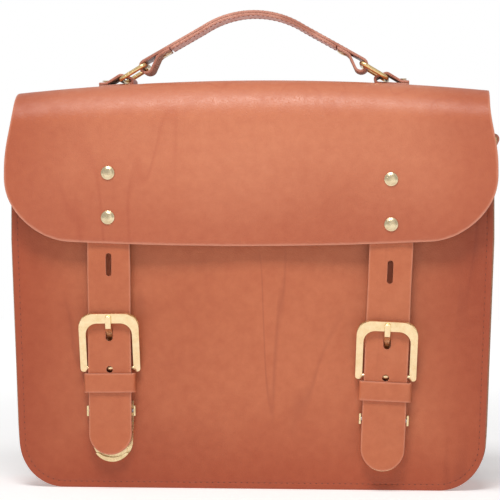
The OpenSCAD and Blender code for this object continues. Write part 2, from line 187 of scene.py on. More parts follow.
def note_edge(piece, distance):
    """Writes how far each point lies from the cut edge, for the finish to read."""
    note = piece.data.attributes.new("edge", "FLOAT", "POINT")
    note.data.foreach_set("value", [max(0.0, distance(*v.co)) for v in piece.data.vertices])
    return piece


def add_modifier(piece, kind, **settings):
    pick(piece)
    made = piece.modifiers.new(kind.title(), kind)
    for key, value in settings.items():
        setattr(made, key, value)
    bpy.ops.object.modifier_apply(modifier=made.name)
    return piece


def soften(piece, width, segments=2, sharper_than=50, leave=lambda p: False):
    """Bevels the sharp edges, except those whose ends pass the leave test."""
    mesh = open_up(piece)
    limit = math.radians(sharper_than)
    count = select_where(mesh, "edges", lambda e: len(e.link_faces) == 2
                         and e.calc_face_angle(0) > limit and not all(leave(v.co) for v in e.verts))
    bmesh.update_edit_mesh(piece.data)
    if count:
        bpy.ops.mesh.bevel(offset=width, segments=segments, affect="EDGES", clamp_overlap=True)
    return close_up(piece)


def smooth(piece, angle=38):
    pick(piece)
    bpy.ops.object.shade_smooth_by_angle(angle=math.radians(angle))
    return piece


def make_leather(piece, thickness, finish, grain=(0, -1, 0), edge=0.0006, leave=lambda p: False):
    """Gives a laid sheet its thickness and finish. grain is the way its first row's smooth side looks."""
    mesh = open_up(piece)
    bpy.ops.mesh.select_all(action="SELECT")
    mesh.faces.ensure_lookup_table()
    mesh.normal_update()
    if mesh.faces[0].normal.dot(Vector(grain)) < 0:
        bpy.ops.mesh.flip_normals()
    close_up(piece)
    for material in finish:
        piece.data.materials.append(material)
    add_modifier(piece, "SOLIDIFY", thickness=thickness, offset=0.0, use_even_offset=True,
                 material_offset=1, material_offset_rim=2)
    soften(piece, edge, leave=leave)
    return smooth(piece)


def arc(centre, radius, start, end, steps):
    """Points on an arc, with angles in degrees from the first axis towards the second."""
    turns = [math.radians(start + (end - start) * i / steps) for i in range(steps + 1)]
    return [(centre[0] + radius * math.cos(t), centre[1] + radius * math.sin(t)) for t in turns]


def line(start, end, step):
    """Points from start to end, about a step apart, without the last."""
    count = max(1, round(math.dist(start, end) / step))
    return [tuple(Vector(start).lerp(Vector(end), i / count)) for i in range(count)]


def ease(value, low, high):
    """0 below low, 1 above high and smooth between."""
    t = min(1.0, max(0.0, (value - low) / (high - low)))
    return t * t * (3 - 2 * t)


print("leather tools ready")

# %% [markdown]
# ## Finishes
# The leather is vegetable-tanned hide. What makes it look real is its unevenness: broad clouds of tone
# where the dye took differently, a fine mottle, growth lines, and pores. Those patterns are used by every
# leather on the bag, so they are one node group, "Hide", which puts out only masks and a height. Each
# leather then mixes its own colours with them. Wear belongs to the edges, and so does a broad painted
# shade that darkens the leather towards them, so a second group reads the distance that `note_edge` wrote.

# %% Node helpers
def colour(red, green, blue):
    """A colour as a painter reads it, 0 to 255, made linear."""
    shares = [c / 255 for c in (red, green, blue)]
    return tuple(c / 12.92 if c <= 10 / 255 else ((c + 0.055) / 1.055) ** 2.4 for c in shares) + (1.0,)


def add(tree, kind, inputs=None, **settings):
    """Adds a node, sets it up and wires its inputs from values or sockets."""
    made = tree.nodes.new("ShaderNode" + kind)
    for key, value in settings.items():
        setattr(made, key, value)
    for key, value in (inputs or {}).items():
        if isinstance(value, bpy.types.NodeSocket):
            tree.links.new(value, made.inputs[key])
        else:
            made.inputs[key].default_value = value
    return made


def new_group(name, inputs, outputs):
    tree = bpy.data.node_groups.new(name, "ShaderNodeTree")
    for label, kind, value in inputs:
        socket = tree.interface.new_socket(label, in_out="INPUT", socket_type="NodeSocket" + kind)
        if value is not None:
            socket.default_value = value
    for label in outputs:
        tree.interface.new_socket(label, in_out="OUTPUT", socket_type="NodeSocketFloat")
    return tree, tree.nodes.new("NodeGroupInput").outputs, tree.nodes.new("NodeGroupOutput").inputs


def maths(tree, operation, first, second=0.5):
    return add(tree, "Math", {0: first, 1: second}, operation=operation).outputs[0]


def spread(tree, value, low, high, to_low=0.0, to_high=1.0):
    """Stretches a part of a pattern's range."""
    return add(tree, "MapRange", {0: value, 1: low, 2: high, 3: to_low, 4: to_high}).outputs[0]


def blend_colours(tree, amount, first, second, how="MIX"):
    made = add(tree, "Mix", data_type="RGBA", blend_type=how, clamp_factor=True)
    for key, value in ((0, amount), (6, first), (7, second)):
        if isinstance(value, bpy.types.NodeSocket):
            tree.links.new(value, made.inputs[key])
        else:
            made.inputs[key].default_value = value
    return made.outputs[2]


print("node helpers ready")

# %% The hide's pattern
hide, given, result = new_group("Hide", [("Vector", "Vector", None), ("Pore Density", "Float", 900.0)],
                                ["Cloud", "Mottle", "Lines", "Height"])
cloud = add(hide, "TexNoise", {"Vector": given["Vector"], "Scale": 5.5, "Detail": 3.0, "Roughness": 0.45,
                               "Distortion": 0.3})
mottle = add(hide, "TexNoise", {"Vector": given["Vector"], "Scale": 130.0, "Detail": 5.0, "Roughness": 0.6})
slant = add(hide, "Mapping", {"Vector": given["Vector"], "Rotation": (0.3, 0.75, 0.2),
                              "Scale": (1.0, 1.0, 0.22)})
growth = add(hide, "TexNoise", {"Vector": slant.outputs[0], "Scale": 17.0, "Detail": 2.0, "Roughness": 0.4,
                                "Distortion": 0.7})
fold = maths(hide, "ABSOLUTE", maths(hide, "SUBTRACT", growth.outputs[0], 0.5))
region = add(hide, "TexNoise", {"Vector": given["Vector"], "Scale": 7.0, "Detail": 1.0}).outputs[0]
lines = maths(hide, "MULTIPLY", spread(hide, fold, 0.0, 0.022, 1.0, 0.0), spread(hide, region, 0.48, 0.62))
pores = add(hide, "TexVoronoi", {"Vector": given["Vector"], "Scale": given["Pore Density"]})
pits = spread(hide, pores.outputs["Distance"], 0.05, 0.45)
fibre = add(hide, "TexNoise", {"Vector": given["Vector"], "Scale": 2200.0, "Detail": 2.0})
relief = maths(hide, "ADD", maths(hide, "MULTIPLY", pits, 0.45),
               maths(hide, "MULTIPLY", fibre.outputs[0], 0.35))
relief = maths(hide, "ADD", relief, maths(hide, "MULTIPLY", mottle.outputs[0], 0.55))
relief = maths(hide, "SUBTRACT", relief, maths(hide, "MULTIPLY", lines, 0.25))
for label, socket in (("Cloud", spread(hide, cloud.outputs[0], 0.30, 0.70)),
                      ("Mottle", spread(hide, mottle.outputs[0], 0.28, 0.72)),
                      ("Lines", lines), ("Height", relief)):
    hide.links.new(socket, result[label])
print("the hide group has", len(hide.nodes), "nodes")

# %% Wear and painted shade along the cut edges
edge_wear_and_painted_shade, given, result = new_group("Edge Wear and Painted Shade", [("Vector", "Vector", None), ("Reach", "Float", 0.006)],
                                     ["Wear", "Painted Shade"])
distance = add(edge_wear_and_painted_shade, "Attribute", attribute_name="edge").outputs["Fac"]
ragged = add(edge_wear_and_painted_shade, "TexNoise", {"Vector": given["Vector"], "Scale": 160.0, "Detail": 3.0}).outputs[0]
reach = maths(edge_wear_and_painted_shade, "MULTIPLY", given["Reach"], maths(edge_wear_and_painted_shade, "ADD", ragged, 0.5))
edge_wear_and_painted_shade.links.new(spread(edge_wear_and_painted_shade, maths(edge_wear_and_painted_shade, "DIVIDE", distance, reach), 0.1, 1.0, 1.0, 0.0),
                    result["Wear"])
# Painted shade: the second output darkens the leather within a drifting reach of about 75 mm from its cut
# edges, standing in for light that falls off towards them.
drift = add(edge_wear_and_painted_shade, "TexNoise", {"Vector": given["Vector"], "Scale": 14.0, "Detail": 2.0}).outputs[0]
margin = maths(edge_wear_and_painted_shade, "DIVIDE", distance, maths(edge_wear_and_painted_shade, "MULTIPLY",
                                                    maths(edge_wear_and_painted_shade, "ADD", drift, 0.5), 0.075))
edge_wear_and_painted_shade.links.new(add(edge_wear_and_painted_shade, "MapRange", {0: margin, 1: 0.0, 2: 1.0, 3: 1.0, 4: 0.0},
                        interpolation_type="SMOOTHSTEP").outputs[0], result["Painted Shade"])
print("the wear group has", len(edge_wear_and_painted_shade.nodes), "nodes")


# %% Leather, flesh side and cut edge
def use_group(tree, group, **inputs):
    made = add(tree, "Group", node_tree=group)
    for key, value in inputs.items():
        key = key.replace("_", " ")
        if isinstance(value, bpy.types.NodeSocket):
            tree.links.new(value, made.inputs[key])
        else:
            made.inputs[key].default_value = value
    return made.outputs


def new_finish(name):
    material = bpy.data.materials.new(name)
    material.use_nodes = True
    tree = material.node_tree
    tree.nodes.clear()
    shader = add(tree, "BsdfPrincipled")
    tree.links.new(shader.outputs[0], add(tree, "OutputMaterial").inputs[0])
    return material, tree, shader, add(tree, "TexCoord").outputs["Object"]


def bump(tree, shader, height, depth):
    made = add(tree, "Bump", {"Height": height, "Distance": depth, "Strength": 1.0})
    tree.links.new(made.outputs[0], shader.inputs["Normal"])


PAINTED_SHADE_TINT = (0.72, 0.50, 0.42, 1.0)         # how much of its red, green and blue the leather keeps under the painted shade at its edges


def leather(name, light, dark, lines, worn, gloss, reach, place=(0, 0, 0), painted_shade=0.0):
    """Smooth grain side: two tones, growth lines, painted shade that darkens it towards the cut edges and a
    worn edge.
    """
    material, tree, shader, here = new_finish(name)
    here = add(tree, "Mapping", {"Vector": here, "Location": place}).outputs[0]
    grain = use_group(tree, hide, Vector=here)
    tone = blend_colours(tree, maths(tree, "MULTIPLY", grain["Cloud"], 0.6), light, dark)
    fine = blend_colours(tree, spread(tree, grain["Mottle"], 0, 1, 0, 0.20), tone, dark, "MULTIPLY")
    marked = blend_colours(tree, maths(tree, "MULTIPLY", grain["Lines"], 0.45), fine, lines)
    from_edge = use_group(tree, edge_wear_and_painted_shade, Vector=here, Reach=reach)
    # Painted shade: the grain is multiplied towards a darker tint near its cut edges.
    with_painted_shade = blend_colours(tree, maths(tree, "MULTIPLY", from_edge["Painted Shade"], painted_shade), marked, PAINTED_SHADE_TINT,
                            "MULTIPLY")
    tree.links.new(blend_colours(tree, maths(tree, "MULTIPLY", from_edge["Wear"], 0.55), with_painted_shade, worn),
                   shader.inputs["Base Color"])
    tree.links.new(spread(tree, grain["Mottle"], 0, 1, gloss - 0.05, gloss + 0.1), shader.inputs["Roughness"])
    shader.inputs["Specular IOR Level"].default_value = 0.4
    bump(tree, shader, grain["Height"], 0.00022)
    return material


def flesh_side(name, light, dark):
    """The inside of the hide: matt, pale and fibrous."""
    material, tree, shader, here = new_finish(name)
    grain = use_group(tree, hide, Vector=here, Pore_Density=600.0)
    nap = add(tree, "TexNoise", {"Vector": here, "Scale": 420.0, "Detail": 5.0, "Roughness": 0.75}).outputs[0]
    tone = blend_colours(tree, grain["Cloud"], light, dark)
    tree.links.new(blend_colours(tree, spread(tree, nap, 0.35, 0.65, 0, 0.5), tone, dark, "MULTIPLY"),
                   shader.inputs["Base Color"])
    tree.links.new(spread(tree, nap, 0.3, 0.7, 0.8, 0.95), shader.inputs["Roughness"])
    shader.inputs["Sheen Weight"].default_value = 0.25
    bump(tree, shader, nap, 0.0006)
    return material


def cut_edge(name, light, dark):
    """A cut edge, rubbed smooth: the layers of the hide show as fine streaks."""
    material, tree, shader, here = new_finish(name)
    streaks = add(tree, "TexNoise", {"Vector": here, "Scale": 700.0, "Detail": 4.0,
                                     "Roughness": 0.6}).outputs[0]
    patches = add(tree, "TexNoise", {"Vector": here, "Scale": 45.0, "Detail": 2.0}).outputs[0]
    tone = blend_colours(tree, spread(tree, patches, 0.35, 0.65), light, dark)
    tree.links.new(blend_colours(tree, spread(tree, streaks, 0.35, 0.7, 0, 0.55), tone, dark),
                   shader.inputs["Base Color"])
    tree.links.new(spread(tree, streaks, 0.3, 0.7, 0.5, 0.7), shader.inputs["Roughness"])
    bump(tree, shader, streaks, 0.00015)
    return material


flesh = flesh_side("flesh_side", colour(206, 160, 128), colour(176, 128, 98))
dark_edge = cut_edge("burnished_edge", colour(146, 100, 82), colour(96, 66, 54))
pale_edge = cut_edge("natural_edge", colour(222, 160, 138), colour(178, 114, 94))
# The flap's hide and the body's hide get painted shade towards their cut edges, the body's at full strength.
flap_finish = [leather("flap_hide", colour(214, 132, 96), colour(198, 112, 78), colour(190, 102, 72),
                       colour(232, 164, 136),
                       gloss=0.36, painted_shade=0.7, reach=0.002), flesh, pale_edge]
body_finish = [leather("body_hide", colour(206, 119, 80), colour(184, 97, 62), colour(162, 82, 54),
                       colour(168, 78, 50),
                       gloss=0.40, place=(0.7, 0.2, 0.1), painted_shade=1.0, reach=0.008), flesh, pale_edge]
strap_finish = [leather("strap_hide", colour(203, 117, 78), colour(188, 100, 64), colour(172, 88, 58),
                        colour(222, 146, 116),
                        gloss=0.38, place=(1.3, 0.4, 0.9), reach=0.0016), flesh, pale_edge]
gusset_finish = [leather("gusset_hide", colour(190, 106, 74), colour(164, 84, 56), colour(150, 76, 52),
                         colour(128, 80, 64),
                         gloss=0.44, place=(0.2, 1.1, 0.5), reach=0.004), flesh, dark_edge]
handle_finish = [leather("handle_hide", colour(206, 128, 96), colour(180, 102, 74), colour(160, 90, 66),
                         colour(232, 176, 154),
                         gloss=0.36, place=(0.9, 0.9, 0.3), reach=0.004), flesh, pale_edge]
leathers = (flap_finish, body_finish, strap_finish, gusset_finish, handle_finish)
print("leathers:", [f[0].name for f in leathers])

# %% [markdown]
# ## Metal and thread
# The buckles are cast brass, polished by hand: the faces are bright, with hairline scratches and a little
# tarnish where fingers don't rub. A metal's colour is its reflection, so the pattern goes into roughness
# and a very shallow bump. The thread is waxed linen, twisted from three plies, which a slanted wave shows.

# %% Brass, steel and thread
scuffs, given, result = new_group("Scuffs", [("Vector", "Vector", None), ("Scratch Length", "Float", 0.06)],
                                  ["Haze", "Scratches"])
haze = add(scuffs, "TexNoise", {"Vector": given["Vector"], "Scale": 240.0, "Detail": 4.0, "Roughness": 0.6})
stretched = add(scuffs, "CombineXYZ", {"X": 1.0, "Y": 1.0, "Z": given["Scratch Length"]})
turned = add(scuffs, "VectorRotate", {"Vector": given["Vector"], "Angle": 0.9, "Axis": (0.2, 1.0, 0.1)})
squeezed = add(scuffs, "VectorMath", {0: turned.outputs[0], 1: stretched.outputs[0]}, operation="MULTIPLY")
hairs = add(scuffs, "TexNoise", {"Vector": squeezed.outputs[0], "Scale": 2600.0, "Detail": 1.0})
scuffs.links.new(spread(scuffs, haze.outputs[0], 0.35, 0.7), result["Haze"])
scuffs.links.new(spread(scuffs, hairs.outputs[0], 0.62, 0.7), result["Scratches"])


def metal(name, bright, dull, gloss, haze_amount=0.12):
    material, tree, shader, here = new_finish(name)
    marks = use_group(tree, scuffs, Vector=here)
    tree.links.new(blend_colours(tree, maths(tree, "MULTIPLY", marks["Haze"], 0.55), bright, dull),
                   shader.inputs["Base Color"])
    rough = maths(tree, "ADD", spread(tree, marks["Haze"], 0, 1, gloss, gloss + haze_amount),
                  maths(tree, "MULTIPLY", marks["Scratches"], 0.12))
    tree.links.new(rough, shader.inputs["Roughness"])
    shader.inputs["Metallic"].default_value = 1.0
    bump(tree, shader, maths(tree, "SUBTRACT", marks["Haze"], marks["Scratches"]), 0.00002)
    return material


buckle_brass = metal("polished_brass", colour(246, 222, 178), colour(226, 192, 138), 0.17, 0.08)
ring_brass = metal("ring_brass", colour(238, 208, 152), colour(206, 168, 108), 0.2, 0.1)
rivet_brass = metal("rivet_brass", colour(226, 208, 172), colour(186, 162, 124), 0.22, 0.1)
lock_brass = metal("lock_brass", colour(242, 218, 172), colour(206, 176, 122), 0.22, 0.1)
steel = metal("spring_steel", colour(190, 190, 192), colour(120, 120, 124), 0.3)

thread, tree, shader, here = new_finish("waxed_thread")
plies = add(tree, "TexWave", {"Vector": here, "Scale": 420.0, "Distortion": 1.5, "Detail": 1.0},
            bands_direction="DIAGONAL").outputs["Fac"]
tree.links.new(blend_colours(tree, plies, colour(96, 44, 30), colour(136, 70, 50)),
               shader.inputs["Base Color"])
tree.links.new(spread(tree, plies, 0, 1, 0.55, 0.7), shader.inputs["Roughness"])
bump(tree, shader, plies, 0.0002)
print("metals and thread ready")

# %% [markdown]
# ## The outline of the body
# Panels, gusset and seams all follow one outline: straight along the bottom, round at the two lower corners
# and slightly wider towards the top. A square sheet gets its round corners by pulling each square ring of
# points onto an arc, so rows that lay along the edge still do, and a stitching groove can be drawn as one
# of those rows.

# %% Outline helpers
def side_at(z):
    """Half the body's width at a height."""
    return float(np.interp(z, [CORNER, 0.19], [BOTTOM_HALF, PANEL_HALF]))


def round_corner(x, z, half, radius, low=0.0):
    """Where a point of a square sheet goes when its lower corners are rounded."""
    a, b = (abs(x) - (half - radius)) / radius, (low + radius - z) / radius
    if a <= 0 or b <= 0:
        return x, z
    turn = math.pi / 4 * (b / a if a >= b else 2 - a / b)
    reach = max(a, b) * radius
    return math.copysign(half - radius + reach * math.cos(turn), x), low + radius - reach * math.sin(turn)


def body_line(inset, top, step=0.006):
    """The body's outline from the left top round the bottom to the right top, moved inwards."""
    centre = (BOTTOM_HALF - CORNER, CORNER)
    right = [p for p in arc(centre, CORNER - inset, -90, 0, 14)]
    for z in np.linspace(CORNER, top, round((top - CORNER) / step) + 1)[1:]:
        right.append((side_at(z) - inset, float(z)))
    left = [(-x, z) for x, z in reversed(right)]
    return left[:-1] + line(left[-1], right[0], step) + right


GROOVE = 0.0045                          # how far the seam lies from the edge
NEAR_EDGE = [0.0, 0.0018, GROOVE - 0.0007, GROOVE, GROOVE + 0.0007, GROOVE + 0.0025]


def marks(half, step):
    """Places across a panel: close together at the groove, a step apart elsewhere."""
    from_edge = NEAR_EDGE + list(np.linspace(NEAR_EDGE[-1], half,
                                             round((half - NEAR_EDGE[-1]) / step) + 1)[1:])
    return sorted([-(half - d) for d in from_edge] + [half - d for d in from_edge[:-1]])


MARKS = marks(PANEL_HALF, 0.0042)


def cut_panel(name, path, half):
    """Lays a wide sheet along the path and sets its columns to the marks."""
    places = [x * half / PANEL_HALF for x in MARKS]
    piece = lay_strip(name, path, 2 * half, len(places) - 1)
    even = np.linspace(-half, half, len(places))
    return shape(piece, lambda x, y, z: (float(np.interp(x, even, places)), y, z))


once = body_line(0, MOUTH)
print("outline length", round(sum(math.dist(a, b) for a, b in zip(once, once[1:])), 3), "m")

# %% [markdown]
# ## Front panel
# One flat piece of firm hide with round lower corners, stitched to the gusset in a groove 4.5 mm from its
# edge. The groove protects the thread, so it is cut into the surface here and isn't just a dark line. The
# panel is a little full in the middle, as a bag that has been used is.

# %% Front panel
def groove_depth(edge):
    return 0.00045 if abs(edge - GROOVE) < 0.0003 else 0.0


def panel_edge(x, z):
    return min(PANEL_HALF - abs(x), z)


def lay_front(x, y, z):
    edge = panel_edge(x, z)
    px, pz = round_corner(x, z, PANEL_HALF, CORNER)
    px *= side_at(max(pz, CORNER)) / PANEL_HALF if pz > CORNER else BOTTOM_HALF / PANEL_HALF
    fullness = 0.0016 * math.cos(px / PANEL_HALF * math.pi / 2) ** 2
    fullness = fullness * ease(pz, 0.02, 0.13) * ease(-pz, -0.262, -0.17)
    fullness *= 1 - math.exp(-((abs(px) - STRAP_X) / 0.03) ** 2) * ease(-pz, -0.11, -0.07)
    ripple = 0.0004 * math.sin(px * 34 + 1.1) * math.sin(pz * 27 + 0.4) * ease(edge, 0.01, 0.05)
    return px, y + groove_depth(edge) - fullness + ripple * ease(pz, 0.08, 0.12), pz


front_y = FRONT + PANEL_T / 2
rows = [(front_y, d) for d in NEAR_EDGE]
rows += line(rows.pop(), (front_y, MOUTH), 0.0042) + [(front_y, MOUTH)]
front_panel = cut_panel("front_leather", rows, PANEL_HALF)
note_edge(front_panel, lambda x, y, z: panel_edge(x, z))
shape(front_panel, lay_front)
make_leather(front_panel, PANEL_T, body_finish, edge=0.0010)
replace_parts(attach(front_panel, "bag"), "front_panel")
print("front panel has", len(front_panel.data.polygons), "faces")

# %% [markdown]
# ## Back panel and the back of the top
# The back panel, the top and the flap are one hide on a bag like this. Here the hide is made in two lengths
# that meet under the handle: this one rises from the bottom at the back and bends over the top. The top
# isn't dead straight: the pull of the handle bows it up in the middle, so its ends lie lower.

# %% Back leather
def bow(x):
    """How far the top lies above its level at the handle's anchors."""
    return 0.0027 - 0.0090 * (x / 0.1815) ** 2


def panel_to_top(z):
    """Half the hide's width: the panel's below, the top's above."""
    return side_at(z) + (crown_high.x - PANEL_HALF) * ease(z, MOUTH, CROWN - 0.004)


def lay_back(x, y, z):
    edge = panel_edge(x, z)
    groove = groove_depth(edge) * ease(-z, -MOUTH, -MOUTH + 0.004)
    px, pz = round_corner(x, z, PANEL_HALF, CORNER)
    px *= (panel_to_top(pz) if pz > CORNER else BOTTOM_HALF) / PANEL_HALF
    raised = ease(pz, BACK_TOP, CROWN) * ease(-y, -BACK, -BACK + BACK_BEND)
    full = 0.0012 * math.cos(px / PANEL_HALF * math.pi / 2) * ease(pz, 0.03, 0.12) * ease(-pz, -0.25, -0.17)
    return px, y - groove + full, pz + bow(px) * raised


BACK_TOP = back_high.z
back_y = BACK - PANEL_T / 2
rows = [(back_y, d) for d in NEAR_EDGE]
rows += line(rows.pop(), (back_y, BACK_TOP), 0.0045)
rows += arc((BACK - BACK_BEND, CROWN - BACK_BEND), BACK_BEND - FLAP_T / 2, 0, 90, 12)
rows += line(rows.pop(), (HANDLE_Y, CROWN - FLAP_T / 2), 0.0045) + [(HANDLE_Y, CROWN - FLAP_T / 2)]
back_leather = cut_panel("back_leather", rows, PANEL_HALF)
note_edge(back_leather, lambda x, y, z: panel_edge(x, z))
shape(back_leather, lay_back)
on_the_split = lambda p: abs(p.y - HANDLE_Y) < 0.0002 and p.z > 0.28
make_leather(back_leather, PANEL_T, flap_finish, grain=(0, 1, 0), leave=on_the_split)
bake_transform(back_leather)
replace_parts(back_leather, "back_panel", "flap_crown")
print("back leather has", len(back_leather.data.polygons), "faces")

# %% [markdown]
# ## Flap
# The flap comes over the front in a wide bend, hangs clear of the straps' upper ends and ends in two big
# round corners. Its lower edge hangs a little lower in the middle, and the corners lift off the panel, as
# stiff leather does.

# %% Flap leather
def flap_half(z):
    """Half the flap's width: as the top's above, widest a little above its corners."""
    return crown_high.x + (flap_high.x - crown_high.x) * ease(-z, -CROWN + 0.012, -0.245)


def flap_edge(x, z):
    return min(flap_high.x - abs(x), z - flap_low.z) if z < 0.27 else flap_high.x - abs(x)


def lay_flap(x, y, z):
    px, pz = round_corner(x, z, flap_high.x, FLAP_CORNER, flap_low.z)
    px *= flap_half(pz) / flap_high.x
    hanging = ease(-pz, -0.27, -0.20)
    raised = bow(px) * ease(pz, CROWN - FRONT_BEND - 0.02, CROWN)
    low_edge = 0.0031 * min(1.0, abs(px) / 0.133) ** 2 * ease(-pz, -0.235, -flap_low.z - 0.012)
    clear = 1 - math.exp(-((abs(px) - STRAP_X) / 0.022) ** 2)
    between = 0.0010 * math.cos(px / 0.0575 * math.pi / 2) ** 2 if abs(px) < 0.0575 else 0.0
    lift = 0.0035 * ease(abs(px), 0.135, 0.187) * hanging
    wave = 0.0006 * math.sin(px * 26 + 0.7) * math.sin(pz * 40)
    moved = (between * hanging + wave * ease(-pz, -0.285, -0.26)) * clear
    return px, y + moved - lift, pz + raised + low_edge


flap_y = FLAP_FACE + FLAP_T / 2
rows = line((HANDLE_Y, CROWN - FLAP_T / 2), (FLAP_FACE + FRONT_BEND, CROWN - FLAP_T / 2), 0.0045)
rows += arc((FLAP_FACE + FRONT_BEND, CROWN - FRONT_BEND), FRONT_BEND - FLAP_T / 2, 90, 180, 14)
rows += line(rows.pop(), (flap_y, flap_low.z), 0.0040) + [(flap_y, flap_low.z)]
flap = cut_panel("flap_leather", rows, flap_high.x)
note_edge(flap, lambda x, y, z: flap_edge(x, z))
shape(flap, lay_flap)
make_leather(flap, FLAP_T, flap_finish, grain=(0, 0, 1), leave=on_the_split)
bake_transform(flap)
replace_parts(flap, "flap_front")
print("flap has", len(flap.data.polygons), "faces")

# %% [markdown]
# ## Gusset
# A single strip of leather runs down one side, along the bottom and up the other side. Its two long edges
# are turned outwards as flanges, and the panels are sewn flat onto them. It is laid as a flat strip along
# the body's outline and then folded: each point of its width goes to a place on the cross-section, and the
# sides draw in a little in the middle, as an empty bag's do.

# %% Gusset
GUSSET_T = 0.0022
FOLD = 0.0030
wall_inset = 0.0091
front_edge, back_edge = gusset_low.y + GUSSET_T / 2, gusset_high.y - GUSSET_T / 2
fold_front = [(FOLD + 0.0061, front_edge), (FOLD + 0.0046, front_edge), (FOLD + 0.0022, front_edge)] + \
    arc((FOLD, front_edge + FOLD), FOLD, -90, -180, 4)
fold_back = [(o, front_edge + back_edge - y) for o, y in reversed(fold_front)]
flat_part = [(0.0, float(y)) for y in np.linspace(front_edge + FOLD, back_edge - FOLD, 14)[1:-1]]
section = fold_front + flat_part + fold_back
outline = body_line(wall_inset, MOUTH)
depth = back_edge - front_edge
gusset = lay_strip("gusset_leather", outline, depth, len(section) - 1, across="Y",
                   middle=(front_edge + back_edge) / 2)
outline_points = np.array(outline)
tangents = np.gradient(outline_points, axis=0)
outwards = np.stack([tangents[:, 1], -tangents[:, 0]], axis=1)
outwards /= np.linalg.norm(outwards, axis=1)[:, None]


def fold_gusset(x, y, z):
    row = int(np.argmin(np.hypot(outline_points[:, 0] - x, outline_points[:, 1] - z)))
    out, across = section[round((y - front_edge) / depth * (len(section) - 1))]
    height = ease(z, 0.03, 0.15)
    share = min(1.0, max(0.0, (across - front_edge - 0.008) / (depth - 0.016)))
    drawn_in = 0.0032 * height * math.sin(math.pi * share)
    proud = 0.0012 * ease(z, 0.010, 0.050) * ease(out, 0.006, 0.0091)
    direction = outwards[row]
    return x + direction[0] * (out - drawn_in + proud), across, z + direction[1] * (out - drawn_in + proud)


note_edge(gusset, lambda x, y, z: min(y - front_edge, back_edge - y, MOUTH - z))
shape(gusset, fold_gusset)
make_leather(gusset, GUSSET_T, gusset_finish, grain=(-1, 0, 0), edge=0.0005)
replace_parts(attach(gusset, "bag"), "gusset")
print("gusset has", len(gusset.data.polygons), "faces")

# %% [markdown]
# ## Handle, anchors and side tabs
# These are straps folded round brass wire. Each is laid along the path of its fold, seen from the front.
# The handle is two layers: the upper one goes over the arch, folds round each ring and comes back
# underneath, where a rivet holds it, and a second layer fills the arch between the two ends.

# %% Paths of the folded straps
handle_low, handle_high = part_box("handle_strap")
HANDLE_W, HANDLE_T = handle_high.y - handle_low.y, 0.002
HANDLE_TOP = handle_high.z
ARCH_R = 0.073
arch_centre = HANDLE_TOP - HANDLE_T / 2 - ARCH_R
loop, loop_r, gap = (0.0835, 0.3255), 0.0049, 0.00205
leg_start = Vector((ARCH_R * math.sin(math.radians(33)), arch_centre + ARCH_R * math.cos(math.radians(33))))
leg_end = Vector(loop) + loop_r * Vector((math.cos(math.radians(62)), math.sin(math.radians(62))))


def on_leg(share, below):
    along = (leg_end - leg_start).normalized()
    return tuple(leg_start.lerp(leg_end, share) + below * Vector((along.y, -along.x)))


def both_ways(half):
    """A path and its mirror image, from left to right."""
    return [(-x, z) for x, z in reversed(half)] + half[1:]


def shifted_leg(start, end, below):
    count = max(2, round(abs(end - start) * (leg_end - leg_start).length / 0.003))
    return [on_leg(start + (end - start) * i / count, below) for i in range(count + 1)]


upper = arc((0, arch_centre), ARCH_R, 90, 57, 16) + shifted_leg(0.0, 1.0, 0)[1:-1]
upper += arc(loop, loop_r, 58, -142, 16)
upper += [on_leg(0.79, gap + 0.0006)] + shifted_leg(0.74, 0.58, gap)
lower = arc((0, arch_centre), ARCH_R - gap, 90, 57, 16) + shifted_leg(0.06, 0.56, gap)
anchor_top = CROWN + 0.00325
anchor_path = line((0.121, anchor_top), (0.1135, anchor_top), 0.0015)
anchor_path += arc((0.1035, 0.315), 0.0038, 50, 120, 6)
anchor_path += arc((0.0974, CROWN + 0.0039), 0.0028, 120, 270, 9)
anchor_path += line((0.0990, CROWN + 0.0011), (0.121, CROWN + 0.0011), 0.002)
anchor_path += [(0.121, CROWN + 0.0011)]
side_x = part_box("side_tab_right")[0].x
side_path = line((side_x + 0.00105, 0.227), (side_x + 0.00105, 0.246), 0.003)
side_path += arc((0.186, 0.2675), 0.0033, 150, -30, 12)
side_path += line((side_x + 0.0054, 0.250), (side_x + 0.00315, 0.246), 0.002)
side_path += line((side_x + 0.00315, 0.246), (side_x + 0.00315, 0.227), 0.003)
side_path += [(side_x + 0.00315, 0.227)]
print("handle path has", 2 * len(upper) - 1, "rows")


# %% Handle, lining, anchors and side tabs
def strap_across(name, path, width, thickness, finish, grain):
    """A strap laid left to right along the middle of the bag's depth, with close rows at its edges."""
    piece = lay_strip(name, path, width, 10, across="Y", middle=HANDLE_Y)
    half = width / 2
    near = [half, half - 0.0009, half - 0.0022, half - 0.0030, half * 0.45]
    places = [-d for d in near] + [0] + near[::-1]
    even = np.linspace(-half, half, len(places))
    shape(piece, lambda x, y, z: (x, HANDLE_Y + float(np.interp(y - HANDLE_Y, even, places)), z))
    note_edge(piece, lambda x, y, z: half - abs(y - HANDLE_Y))
    return make_leather(piece, thickness, finish, grain=grain, edge=0.0005)


handle = strap_across("handle_leather", both_ways(upper), HANDLE_W, HANDLE_T, handle_finish, grain=(0, 0, 1))
lining = strap_across("handle_lining_leather", both_ways(lower), HANDLE_W, HANDLE_T, handle_finish,
                      grain=(0, 0, -1))
for piece, node in ((handle, "handle_strap"), (lining, "handle_lining")):
    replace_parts(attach(piece, "handle"), node)

backing_low, backing_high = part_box("handle_backing")
backing_z = (backing_low.z + backing_high.z) / 2
backing_path = line((backing_low.x, backing_z), (backing_high.x, backing_z), 0.006)
backing_path += [(backing_high.x, backing_z)]
backing = strap_across("handle_backing_leather", backing_path, backing_high.y - backing_low.y,
                       backing_high.z - backing_low.z, handle_finish, grain=(0, 0, -1))
shape(backing, lambda x, y, z: (x, y, z + bow(x)))
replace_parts(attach(backing, "flap_top"), "handle_backing")

